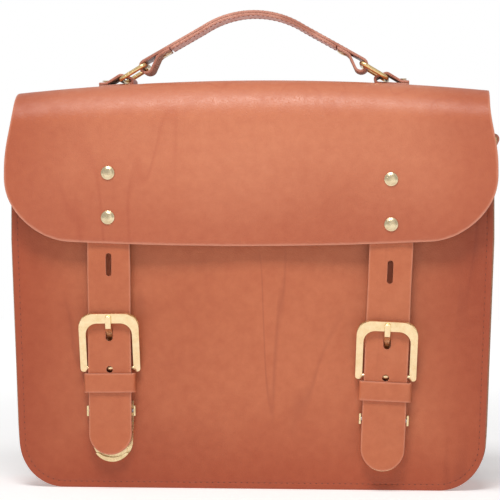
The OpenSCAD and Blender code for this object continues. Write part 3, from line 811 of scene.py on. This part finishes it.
for side, way in SIDES.items():
    anchor = strap_across(f"anchor_leather_{side}", [(way * x, z) for x, z in anchor_path], 0.024, HANDLE_T,
                          handle_finish, grain=(0, 0, 1))
    shape(anchor, lambda x, y, z: (x, y, z + bow(x) * ease(-z, -CROWN - 0.007, -CROWN - 0.004)))
    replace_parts(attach(anchor, "flap_top"), f"handle_anchor_{side}")
    tab = strap_across(f"side_tab_leather_{side}", [(way * x, z) for x, z in side_path], 0.020, HANDLE_T,
                       strap_finish, grain=(-way, 0, 0))
    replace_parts(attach(tab, "bag"), f"side_tab_{side}")
print("folded straps done")

# %% [markdown]
# ## The two hanging straps
# Each strap is one piece of bridle leather from its rivets behind the flap down to its round tip. The
# rivets hold it to the flap, and below the flap's edge it swings, so the piece blends between the two. It
# leans a little towards the middle. The holes are punched: a rounded slot near the flap, one for the prong
# and a round one behind the keeper. A punch is a solid of the hole's shape, taken away from the strap.

# %% Placing what belongs to a strap
def strap_place(side, drop=True):
    """Moves a piece drawn over the middle line of a straight strap to its leaning place on the bag."""
    at = Vector((SIDES[side] * STRAP_X, 0, HINGE))
    place = Matrix.Translation(at) @ Matrix.Rotation(LEAN[side], 4, "Y") @ Matrix.Translation((0, 0, -HINGE))
    return place @ Matrix.Translation((0, 0, -DROP[side] if drop else 0))


def put(piece, place):
    """Moves a finished mesh to its place, so the object itself stays at the origin."""
    piece.data.transform(place)
    piece.data.update()
    return piece


def copy_of(piece, name):
    made = piece.copy()
    made.data = piece.data.copy()
    made.name = made.data.name = name
    bpy.context.collection.objects.link(made)
    return made


def take_away(piece, *cutters):
    """Cuts the cutters' shapes out of a piece and clears them away."""
    for cutter in cutters:
        add_modifier(piece, "BOOLEAN", object=cutter, operation="DIFFERENCE", solver="EXACT")
        bpy.data.objects.remove(cutter)
    return piece


def punch(low, high, radius):
    """A rounded slot cutter along Y: a cylinder whose upper half is pulled up."""
    bpy.ops.object.select_all(action="DESELECT")
    bpy.ops.mesh.primitive_cylinder_add(vertices=24, radius=radius, depth=0.03,
                                        location=(0, FRONT, low + radius), rotation=(math.pi / 2, 0, 0))
    cutter = named("punch")
    bpy.ops.object.transform_apply(location=True, rotation=True, scale=True)
    if high - low > 2.01 * radius:
        mesh = open_up(cutter)
        select_where(mesh, "verts", lambda v: v.co.z > low + radius - 1e-6)
        bpy.ops.transform.translate(value=(0, 0, high - low - 2 * radius))
        close_up(cutter)
    for material in strap_finish:
        cutter.data.materials.append(material)
    for face in cutter.data.polygons:
        face.material_index = 2
    return cutter


print("the left strap leans", round(math.degrees(LEAN["left"]), 1), "and the right",
      round(math.degrees(LEAN["right"]), 1))

# %% Straps
STRAP_W, STRAP_T = 0.033, 0.0025
strap_y = flap_high.y + STRAP_T / 2
root_top = {side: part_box(f"strap_root_{side}")[1].z for side in SIDES}
tip = {"left": 0.026, "right": 0.0155}
heel_z = 0.092
for side, way in SIDES.items():
    half = STRAP_W / 2
    rows = [(strap_y, z) for z in np.linspace(tip[side], tip[side] + half, 12)[:-1]]
    rows += line((strap_y, tip[side] + half), (strap_y, root_top[side]), 0.0035) + [(strap_y, root_top[side])]
    strap = lay_strip(f"strap_leather_{side}", rows, STRAP_W, 16)
    note_edge(strap, lambda x, y, z: min(half - abs(x), z - tip[side]))
    here = heel_z - DROP[side]

    def lay_strap(x, y, z):
        x, z = round_corner(x, z, half, half, tip[side])
        over_bar = 0.0004 * math.exp(-((z - here - 0.022) / 0.010) ** 2)
        hollow = 0.0005 * math.exp(-((z - here - 0.052) / 0.014) ** 2)
        wander = 0.00025 * math.sin(z * 60 + way) * ease(-z, -0.17, -0.15)
        curl = 0.0012 * ease(-z, -tip[side] - 0.020, -tip[side]) - 0.0004 * (x / half) ** 2
        return x * (1 - 0.012 * math.sin(z * 45 + way) ** 2), y - over_bar + hollow + wander - curl, z

    shape(strap, lay_strap)
    make_leather(strap, STRAP_T, strap_finish, edge=0.0006)
    lift = here - heel_z
    take_away(strap, punch(0.162 + lift, 0.1796 + lift, 0.00225),
              punch(0.1126 + lift, 0.1234 + lift, 0.0028), punch(0.0884 + lift, 0.0936 + lift, 0.0026))
    upright = strap_place(side, drop=False)
    straight = Matrix.Translation((way * STRAP_X, 0, 0))

    def bend_strap(x, y, z):
        share = ease(-z, -HINGE - 0.010, -HINGE + 0.010)
        return (straight @ Vector((x, y, z))).lerp(upright @ Vector((x, y, z)), share)

    shape(strap, bend_strap)
    smooth(strap)
    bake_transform(strap)
    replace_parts(strap, f"strap_{side}", f"strap_root_{side}")
    print(strap.name, "has", len(strap.data.polygons), "faces")

# %% [markdown]
# ## Keepers and buckle tabs
# The keeper is a narrow band glued into a loop round the strap. The buckle tab is a thinner strip folded
# round the buckle's bar, which carries the lock's tongue below. Both are laid along their folds and copied
# for the second strap.

# %% Keeper and buckle tab
def out(distance):
    """The depth that lies so far in front of the front panel."""
    return FRONT - distance


def loop_round(half_w, low, high, radius):
    """A rounded rectangle round the strap, seen from above, closed on itself behind."""
    x, back, front = half_w - radius, out(low) - radius, out(high) + radius
    path = [(0.0, out(low))] + arc((x, back), radius, 90, 0, 5) + arc((x, front), radius, 0, -90, 5)
    path += [(x * 0.5, out(high) - 0.0003), (0.0, out(high) - 0.0004), (-x * 0.5, out(high) - 0.0003)]
    path += arc((-x, front), radius, -90, -180, 5) + arc((-x, back), radius, 180, 90, 5) + [(0.0, out(low))]
    return path


KEEPER_LOW, KEEPER_HIGH, KEEPER_T = 0.0735, 0.088, 0.0015
keeper = lay_strip("keeper", loop_round(0.01885, 0.00495, 0.01105, 0.0020), KEEPER_HIGH - KEEPER_LOW, 6,
                   across="Z",
                   middle=(KEEPER_LOW + KEEPER_HIGH) / 2)
open_up(keeper)
bpy.ops.mesh.select_all(action="SELECT")
bpy.ops.mesh.remove_doubles(threshold=0.00001)
close_up(keeper)
note_edge(keeper, lambda x, y, z: min(z - KEEPER_LOW, KEEPER_HIGH - z))
make_leather(keeper, KEEPER_T, strap_finish, grain=(0, 1, 0), edge=0.0004)
TAB_W, TAB_T, heel_out = 0.030, 0.0015, 0.00425
fold_r = 0.0015 + 0.00005 + TAB_T / 2
TAB_LOW = 0.028
tab_rows = [(out(heel_out + fold_r), z) for z in (*np.linspace(TAB_LOW, 0.040, 8)[:-1],
                                                  *np.linspace(0.040, heel_z, 14)[:-1])]
tab_rows += [(2 * out(heel_out) - y, z) for y, z in arc((out(heel_out), heel_z), fold_r, 0, 180, 12)]
tab_rows += line((out(heel_out - fold_r), heel_z - 0.004), (out(heel_out - fold_r), 0.073), 0.004)
tab_rows += line((out(heel_out - fold_r), 0.073), (out(heel_out + 0.00075), 0.0675), 0.003)
tab_rows += line((out(heel_out + 0.00075), 0.0675), (out(heel_out + 0.00075), 0.040), 0.004)
tab_rows += [(out(heel_out + 0.00075), z) for z in np.linspace(0.040, TAB_LOW, 8)]
buckle_tab = lay_strip("buckle_tab", tab_rows, TAB_W, 8)
note_edge(buckle_tab, lambda x, y, z: min(TAB_W / 2 - abs(x), z - TAB_LOW))


def round_tab(x, y, z):
    x, z = round_corner(x, z, TAB_W / 2, 0.012, TAB_LOW)
    return x, y, z


shape(buckle_tab, round_tab)
make_leather(buckle_tab, TAB_T, strap_finish, edge=0.0004)
take_away(buckle_tab, punch(0.0865, 0.1075, 0.0032))
smooth(buckle_tab)
for side in SIDES:
    for original, node, label in ((keeper, "keeper", "keeper_leather"),
                                  (buckle_tab, "buckle_tab", "buckle_tab_leather")):
        piece = put(copy_of(original, f"{label}_{side}"), strap_place(side))
        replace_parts(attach(piece, f"strap_{side}"), f"{node}_{side}")
for original in (keeper, buckle_tab):
    bpy.data.objects.remove(original)
print("keepers and buckle tabs placed")

# %% [markdown]
# ## Cast brass buckles
# The frame is cast, filed and polished: one thick plate with a wide top band, slim legs and a chamfer all
# round that catches the light. It is drawn as a flat plate, its window is inset and opened at the bottom,
# its corners are rounded, and then it is pulled to its thickness and bevelled. A hair-thin inset keeps the
# flat faces flat in shading. The bar across the bottom is turned, and the prong is a bent strip with a ring
# round that bar. They are made once, on a straight strap, and copied to both sides.

# %% Buckle frame
BUCKLE_W, BUCKLE_H, BUCKLE_T = 0.046, 0.043, 0.0032
BAND_OUT = 0.010 + 0.0022 + BUCKLE_T / 2
tilt = math.atan((BAND_OUT - heel_out) / (BUCKLE_H - 0.004))
in_buckle = Matrix.Translation((0, out(heel_out), heel_z)) @ Matrix.Rotation(math.pi / 2 + tilt, 4, "X")

bpy.ops.object.select_all(action="DESELECT")
foot = -0.0026
bpy.ops.mesh.primitive_plane_add(size=1, location=(0, (BUCKLE_H + foot) / 2, 0))
frame_plate = named("buckle_frame")
frame_plate.scale = (BUCKLE_W, BUCKLE_H - foot, 1)
bpy.ops.object.transform_apply(location=True, rotation=True, scale=True)
mesh = open_up(frame_plate)
bpy.ops.mesh.select_all(action="SELECT")
bpy.ops.mesh.inset(thickness=0.0052)
mesh = bmesh.from_edit_mesh(frame_plate.data)
select_where(mesh, "faces", lambda f: all(abs(v.co.x) < BUCKLE_W / 2 - 0.004 for v in f.verts)
             or f.calc_center_median().y < 0.001)
bpy.ops.mesh.delete(type="FACE")
select_where(mesh, "verts", lambda v: not v.link_faces)
bpy.ops.mesh.delete(type="VERT")
select_where(mesh, "verts", lambda v: abs(v.co.x) < BUCKLE_W / 2 - 0.004 and v.co.y < 0.01)
bpy.ops.transform.translate(value=(0, 2 * foot, 0))
select_where(mesh, "verts", lambda v: abs(v.co.x) < BUCKLE_W / 2 - 0.004 and v.co.y > 0.01)
bpy.ops.transform.translate(value=(0, -0.0022, 0))
close_up(frame_plate)
print("flat plate has", len(frame_plate.data.polygons), "faces")
mesh = open_up(frame_plate)
select_where(mesh, "verts", lambda v: v.co.y < 0.01)
bpy.ops.mesh.bevel(offset=0.0022, segments=4, affect="VERTICES")
select_where(mesh, "verts", lambda v: v.co.y > 0.042)
bpy.ops.mesh.bevel(offset=0.0115, segments=8, affect="VERTICES")
select_where(mesh, "verts", lambda v: abs(v.co.x) < BUCKLE_W / 2 - 0.004 and 0.03 < v.co.y < 0.038)
bpy.ops.mesh.bevel(offset=0.0088, segments=7, affect="VERTICES")
bpy.ops.mesh.select_all(action="SELECT")
bpy.ops.mesh.dissolve_limited(angle_limit=math.radians(1))
bpy.ops.mesh.select_all(action="SELECT")
bpy.ops.mesh.extrude_region_move(TRANSFORM_OT_translate={"value": (0, 0, BUCKLE_T)})
bpy.ops.mesh.select_all(action="SELECT")
bpy.ops.transform.translate(value=(0, 0, -BUCKLE_T / 2))
bpy.ops.mesh.remove_doubles(threshold=0.00001)
bpy.ops.mesh.normals_make_consistent(inside=False)
close_up(frame_plate)
soften(frame_plate, 0.0009, segments=3, sharper_than=60)
mesh = open_up(frame_plate)
select_where(mesh, "faces", lambda f: abs(f.normal.z) > 0.99 and f.calc_area() > 0.0001)
bpy.ops.mesh.inset(thickness=0.00015, use_even_offset=False)
close_up(frame_plate)
put(frame_plate, in_buckle)
bpy.ops.object.select_all(action="DESELECT")
bpy.ops.mesh.primitive_cylinder_add(vertices=28, radius=0.0015, depth=BUCKLE_W - 0.008,
                                    location=(0, out(heel_out), heel_z), rotation=(0, math.pi / 2, 0))
bar = named("buckle_bar")
bpy.ops.object.transform_apply(location=True, rotation=True, scale=True)
pick(frame_plate)
bar.select_set(True)
bpy.ops.object.join()
frame_plate.data.materials.clear()
frame_plate.data.materials.append(buckle_brass)
smooth(frame_plate, 35)
print("buckle frame has", len(frame_plate.data.polygons), "faces")

# %% Prong
def over_band(y):
    reach = BUCKLE_T / 2 + 0.00115
    return (out(heel_out + y * math.sin(tilt) + reach * math.cos(tilt)),
            heel_z + y * math.cos(tilt) - reach * math.sin(tilt))


prong_path = [(out(heel_out), heel_z + 0.0022), (out(heel_out), 0.100), (out(heel_out + 0.0001), 0.1110),
              (out(heel_out + 0.0006), 0.1140),
              (out(heel_out + 0.0022), 0.1158), (out(0.0094), 0.1188), (out(0.0120),
                      0.1214), over_band(0.0325), over_band(0.0345), over_band(0.0385), over_band(0.0416)]
PRONG_W = 0.0046
prong = lay_strip("prong", prong_path, PRONG_W, 4)
shape(prong, lambda x, y, z: (x * (1 - 0.12 * ease(z, 0.1285, 0.1330)), y, z))
prong.data.materials.append(buckle_brass)
add_modifier(prong, "SOLIDIFY", thickness=0.0022, offset=0, use_even_offset=True)
soften(prong, 0.0007, segments=3, sharper_than=55)
bpy.ops.object.select_all(action="DESELECT")
bpy.ops.mesh.primitive_cylinder_add(vertices=28, radius=0.0030, depth=0.005,
                                    location=(0, out(heel_out), heel_z), rotation=(0, math.pi / 2,
                                            0), end_fill_type="NOTHING")
ring = named("prong_ring")
bpy.ops.object.transform_apply(location=True, rotation=True, scale=True)
add_modifier(ring, "SOLIDIFY", thickness=0.0014, offset=-1)
ring.data.materials.append(buckle_brass)
soften(ring, 0.0004, sharper_than=60)
pick(prong)
ring.select_set(True)
bpy.ops.object.join()
smooth(prong, 35)
for side in SIDES:
    piece = put(copy_of(frame_plate, f"buckle_brass_{side}"), strap_place(side))
    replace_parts(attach(piece, f"buckle_{side}"), f"buckle_frame_{side}")
    piece = put(copy_of(prong, f"prong_brass_{side}"), strap_place(side))
    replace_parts(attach(piece, f"prong_{side}"), f"buckle_prong_{side}")
for original in (frame_plate, prong):
    bpy.data.objects.remove(original)
print("buckles placed")

# %% [markdown]
# ## Rivets on the flap
# Four capped rivets hold the straps' upper ends. A cap is pressed brass: a shallow dome with a rolled rim.
# A turned shape is drawn as half its profile and spun round its axis.

# %% Turned parts
def turn(name, profile, material):
    """Pulls a point along a profile of (radius, height) and spins it round Z."""
    bpy.ops.object.select_all(action="DESELECT")
    bpy.ops.mesh.primitive_plane_add(size=0.001)
    piece = named(name)
    mesh = open_up(piece)
    bmesh.ops.delete(mesh, geom=list(mesh.verts)[1:], context="VERTS")
    mesh.verts.ensure_lookup_table()
    mesh.verts[0].co = (profile[0][0], 0, profile[0][1])
    bpy.ops.mesh.select_all(action="SELECT")
    for here, there in zip(profile, profile[1:]):
        bpy.ops.mesh.extrude_region_move(TRANSFORM_OT_translate={"value": (there[0] - here[0], 0,
                                                                           there[1] - here[1])})
    bpy.ops.mesh.select_all(action="SELECT")
    bpy.ops.mesh.spin(steps=32, angle=2 * math.pi, center=(0, 0, 0), axis=(0, 0, 1))
    bpy.ops.mesh.select_all(action="SELECT")
    bpy.ops.mesh.remove_doubles(threshold=0.000005)
    bpy.ops.mesh.normals_make_consistent(inside=False)
    close_up(piece)
    piece.data.materials.append(material)
    return smooth(piece, 45)


cap_r = 0.0053
depth_behind = FLAP_T + STRAP_T
cap_profile = [(0, 0.00205), (0.0012, 0.00203), (0.0024, 0.00192), (0.0034, 0.00170), (0.0041, 0.00135),
               (0.00445, 0.00105), (0.0047, 0.00098),
               (0.0050, 0.00092), (0.00525, 0.00070), (cap_r, 0.00035), (0.00515, 0.00005), (0.0012,
                       0.0), (0.0012, -depth_behind),
               (0.0043, -depth_behind), (0.0045, -depth_behind - 0.0003), (0.0042,
                       -depth_behind - 0.0006), (0.0, -depth_behind - 0.0006)]
rivet = turn("rivet", cap_profile, rivet_brass)
rivets = []
for side, way in SIDES.items():
    for z in (0.2406, 0.2067):
        place = Matrix.Translation((way * STRAP_X, FLAP_FACE,
                                    z - DROP[side])) @ Matrix.Rotation(math.pi / 2, 4, "X")
        rivets.append(put(copy_of(rivet, f"cap_{len(rivets)}"), place))
pick(rivets[0])
for piece in rivets[1:]:
    piece.select_set(True)
bpy.ops.object.join()
rivets[0].name = rivets[0].data.name = "flap_rivet_brass"
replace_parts(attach(rivets[0], "flap_front"), "flap_rivets")
bpy.data.objects.remove(rivet)
print("rivets have", len(rivets[0].data.polygons), "faces")

# %% [markdown]
# ## Saddle stitching
# The seams are sewn by hand with waxed thread, about 4.4 mm a stitch. Each stitch lies in the groove as a
# short, fat bead whose ends dip into the holes. One bead is modelled and copied along every seam.

# %% One stitch
STITCH = 0.0044
bpy.ops.object.select_all(action="DESELECT")
bpy.ops.mesh.primitive_uv_sphere_add(segments=8, ring_count=5, radius=0.0005)
bead = named("bead")
mesh = open_up(bead)
bpy.ops.mesh.select_all(action="SELECT")
bpy.ops.transform.rotate(value=math.pi / 2, orient_axis="Y", center_override=(0, 0, 0))
bpy.ops.transform.resize(value=(3.3, 0.95, 0.8))
close_up(bead)
shape(bead, lambda x, y, z: (x, y, z - 0.0005 * (x / 0.00165) ** 2))
bead.data.materials.append(thread)
smooth(bead, 60)


def sew(name, places, body):
    """Copies the stitch to each place: a point, the way along the seam and the way out of the leather."""
    beads = []
    for point, along, outward in places:
        x, z = Vector(along).normalized(), Vector(outward).normalized()
        y = z.cross(x)
        place = Matrix((x, y, z)).transposed().to_4x4()
        place.translation = point
        beads.append(put(copy_of(bead, f"{name}_{len(beads)}"), place))
    pick(beads[0])
    for piece in beads[1:]:
        piece.select_set(True)
    bpy.ops.object.join()
    seam = beads[0]
    seam.name = seam.data.name = name
    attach(seam, body)
    print(name, "has", len(places), "stitches")
    return seam


def along_path(path, pitch):
    """Evenly spaced points on a path with the direction there."""
    lengths = np.concatenate([[0], np.cumsum([math.dist(a, b) for a, b in zip(path, path[1:])])])
    count = int(lengths[-1] // pitch)
    start = (lengths[-1] - count * pitch) / 2
    found = []
    for i in range(count + 1):
        d = start + i * pitch
        k = min(len(path) - 2, int(np.searchsorted(lengths, d, side="right")) - 1)
        a, b = Vector(path[k]), Vector(path[k + 1])
        found.append((a.lerp(b, (d - lengths[k]) / (lengths[k + 1] - lengths[k])), (b - a).normalized()))
    return found


# %% Seams
seam_line = body_line(GROOVE, MOUTH - 0.006, step=0.004)
front_seam = [((p.x, FRONT + 0.00025, p.y), (d.x, 0, d.y), (0, -1, 0)) for p,
              d in along_path(seam_line, STITCH)]
sew("front_seam", front_seam, "bag")
back_seam = [((p.x, BACK - 0.00025, p.y), (d.x, 0, d.y), (0, 1, 0)) for p, d in along_path(seam_line, STITCH)]
sew("back_seam", back_seam, "bag")
handle_line = both_ways(arc((0, arch_centre), ARCH_R + HANDLE_T / 2, 90, 57, 16) + shifted_leg(0.05, 0.74,
        -HANDLE_T / 2))
under_line = both_ways(arc((0, arch_centre), ARCH_R - gap - HANDLE_T / 2, 90, 57, 16) + shifted_leg(0.06,
        0.54, gap + HANDLE_T / 2))
handle_seam = []
for path, sign in ((handle_line, 1), (under_line, -1)):
    for edge_y in (HANDLE_Y - HANDLE_W / 2 + 0.0026, HANDLE_Y + HANDLE_W / 2 - 0.0026):
        for p, d in along_path(path, 0.0038):
            handle_seam.append(((p.x, edge_y, p.y), (d.x, 0, d.y), (-d.y * sign, 0, d.x * sign)))
sew("handle_seam", handle_seam, "handle")
bpy.data.objects.remove(bead)

# %% [markdown]
# ## Metal that was already drawn to shape
# The rings, lock plates, buttons, tongues, springs and small rivets are simple machined shapes and are
# right as drawn. They only need their finish.

# %% Finishes for the drawn metal
finish_of = {"handle_ring": ring_brass, "side_ring": ring_brass, "lock_plate": lock_brass,
             "lock_button": lock_brass, "lock_tongue": lock_brass,
             "lock_spring": steel, "lock_backing": steel, "lock_rivets": rivet_brass,
             "anchor_rivets": rivet_brass, "handle_rivets": rivet_brass,
             "side_tab_rivets": rivet_brass, "tongue_rivets": rivet_brass}
for name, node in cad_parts.items():
    finish = next((f for start, f in finish_of.items() if name.startswith(start)), None)
    if finish and not node.hide_render:
        for place in range(max(1, len(node.material_slots))):
            if not node.material_slots:
                node.data.materials.append(finish)
            node.material_slots[place].material = finish
shown = [n for n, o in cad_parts.items() if not o.hide_render]
print("still plain:", [n for n in shown if not any(n.startswith(s) for s in finish_of)])

# %% [markdown]
# ## Studio
# The bag stands on a pale floor that glows a little, so that it fades into the surroundings without a
# horizon. A large light high in front does the shaping and puts a soft shadow under the flap. A small one
# above on the left gives the flap's bend its sheen, and a weak one from low in front fills the shadows. The
# surroundings look brighter to the metal than to the leather, as white cards round a small set do. The
# camera stands level with the flap's lower edge and slightly to the right.

# %% Floor, light and camera
bpy.ops.object.select_all(action="DESELECT")
bpy.ops.mesh.primitive_plane_add(size=7, location=(0, 0, -0.0002))
floor = named("floor")
floor_paint, tree, shader, here = new_finish("floor_paint")
grainy = add(tree, "TexNoise", {"Vector": here, "Scale": 30.0, "Detail": 2.0}).outputs[0]
tree.links.new(blend_colours(tree, grainy, (0.93, 0.925, 0.92, 1), (0.90, 0.895, 0.89, 1)),
               shader.inputs["Base Color"])
shader.inputs["Roughness"].default_value = 0.85
shader.inputs["Emission Color"].default_value = (1, 1, 1, 1)
away = add(tree, "VectorMath", {0: here}, operation="LENGTH").outputs["Value"]
tree.links.new(spread(tree, away, 0.3, 1.5, 0.30, 0.75), shader.inputs["Emission Strength"])
floor.data.materials.append(floor_paint)

world = bpy.data.worlds.new("studio")
bpy.context.scene.world = world
world.use_nodes = True
tree = world.node_tree
tree.nodes.clear()
ray = add(tree, "LightPath").outputs
strength = maths(tree, "MAXIMUM", spread(tree, ray["Is Camera Ray"], 0, 1, 0.22, 1.0),
                 maths(tree, "MULTIPLY", ray["Is Glossy Ray"], 0.6))
sky = add(tree, "Background", {"Color": (1, 1, 1, 1), "Strength": strength})
tree.links.new(sky.outputs[0], add(tree, "OutputWorld").inputs[0])


def soft_light(name, place, aim, size, power):
    data = bpy.data.lights.new(name, "AREA")
    data.shape = "RECTANGLE"
    data.size, data.size_y = size
    data.energy = power
    lamp = bpy.data.objects.new(name, data)
    bpy.context.collection.objects.link(lamp)
    lamp.location = place
    lamp.rotation_euler = (Vector(aim) - Vector(place)).to_track_quat("-Z", "Y").to_euler()


soft_light("key", (-0.08, -1.05, 1.75), (0, 0, 0.14), (0.8, 0.6), 22.5)
soft_light("top", (-0.45, -0.25, 1.5), (-0.15, 0, 0.3), (0.3, 0.3), 2)
soft_light("fill", (0.5, -1.9, 0.4), (0, 0, 0.12), (1.0, 1.0), 1.5)

eye = Vector((0.12, FRONT - 1.45, 0.182))
lens = bpy.data.cameras.new("camera")
lens.lens, lens.sensor_width, lens.clip_end = 137.4, 36, 20
camera = bpy.data.objects.new("camera", lens)
bpy.context.collection.objects.link(camera)
camera.location = eye
camera.rotation_euler = (Vector((0, FRONT, 0.182)) - eye).to_track_quat("-Z", "Y").to_euler()
bpy.context.scene.camera = camera
bpy.context.scene.view_settings.view_transform = "Standard"
print("camera at", tuple(round(c, 3) for c in eye))
